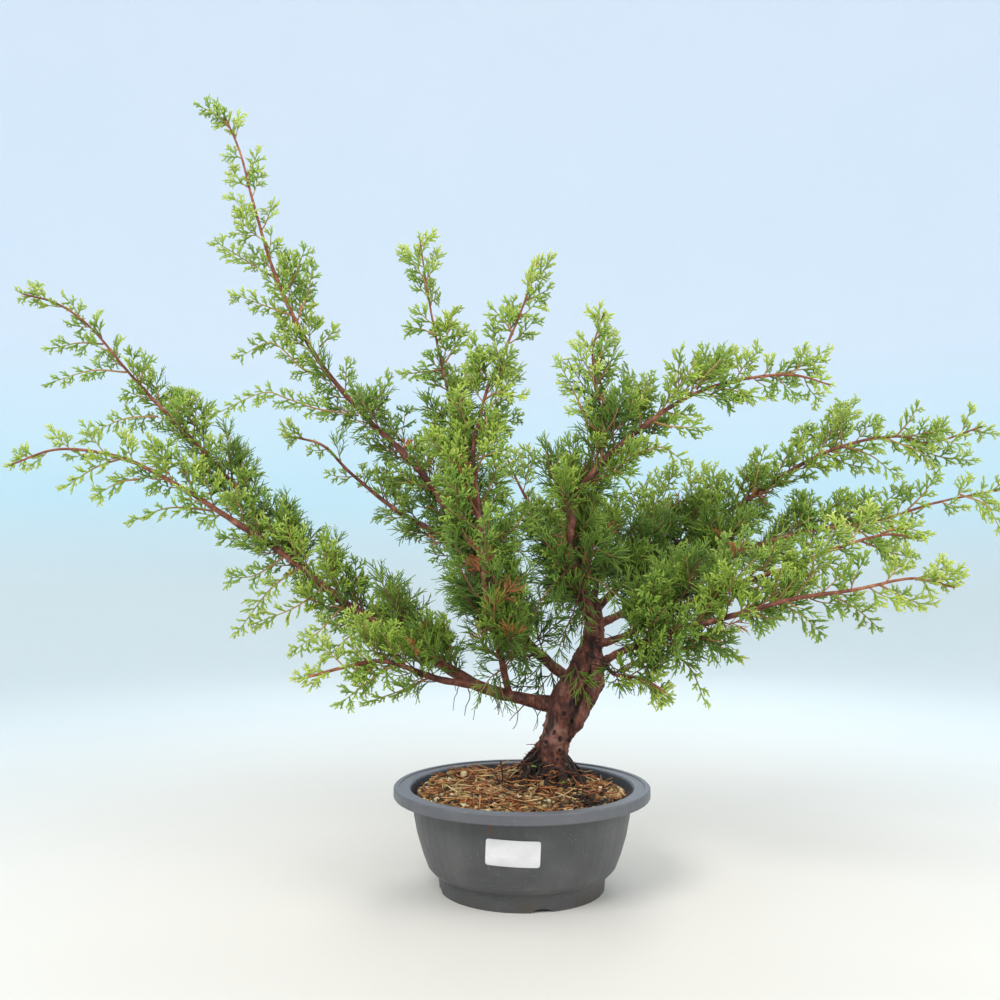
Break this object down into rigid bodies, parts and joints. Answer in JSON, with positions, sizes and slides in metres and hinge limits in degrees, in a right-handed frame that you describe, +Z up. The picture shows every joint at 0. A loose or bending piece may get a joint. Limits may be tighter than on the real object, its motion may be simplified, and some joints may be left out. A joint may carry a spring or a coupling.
{
  "type": "bonsai tree in a pot",
  "caption": "Juniper bonsai with long arching branches of fine scale-leaf sprays, growing in a low round plastic training pot.",
  "frame": {"origin": "centre of the pot's foot, on the surface that the pot stands on; the branches reach about equally far from it to the left and right and to the front and back", "axes": "+Z up the tree; the pot's label and the tree's front face -Y; +X to the right as seen from the front"},
  "size_m": [0.8589, 0.2911, 0.668],
  "materials": {
    "pot_plastic": "dark slate-blue moulded plastic, scuffed and dusty",
    "label_vinyl": "plain white sticker, nothing printed on it",
    "soil_mix": "ochre clay granules with dead brown needles, moist in places",
    "juniper_bark": "flaking red-brown bark with dark knots",
    "juniper_foliage": "satin green scale leaves, yellow-green at the tips"
  },
  "bodies": {
    "root": {"pot": "pot_plastic", "label": "label_vinyl", "soil": "soil_mix", "trunk": "juniper_bark", "left_low_branch": "juniper_bark", "left_high_branch": "juniper_bark", "left_under_branch": "juniper_bark", "tall_branch": "juniper_bark", "back_left_branch": "juniper_bark", "centre_branch": "juniper_bark", "centre_left_branch": "juniper_bark", "right_tall_branch": "juniper_bark", "right_sprout_branch": "juniper_bark", "right_mid_branch": "juniper_bark", "right_low_branch": "juniper_bark", "right_front_branch": "juniper_bark", "right_bottom_branch": "juniper_bark", "right_under_branch": "juniper_bark", "back_right_branch": "juniper_bark", "back_centre_branch": "juniper_bark", "left_low_foliage": "juniper_foliage", "left_high_foliage": "juniper_foliage", "left_under_foliage": "juniper_foliage", "tall_foliage": "juniper_foliage", "back_left_foliage": "juniper_foliage", "centre_foliage": "juniper_foliage", "centre_left_foliage": "juniper_foliage", "right_tall_foliage": "juniper_foliage", "right_sprout_foliage": "juniper_foliage", "right_mid_foliage": "juniper_foliage", "right_low_foliage": "juniper_foliage", "right_front_foliage": "juniper_foliage", "right_bottom_foliage": "juniper_foliage", "right_under_foliage": "juniper_foliage", "back_right_foliage": "juniper_foliage", "back_centre_foliage": "juniper_foliage"}
  },
  "joints": []
}
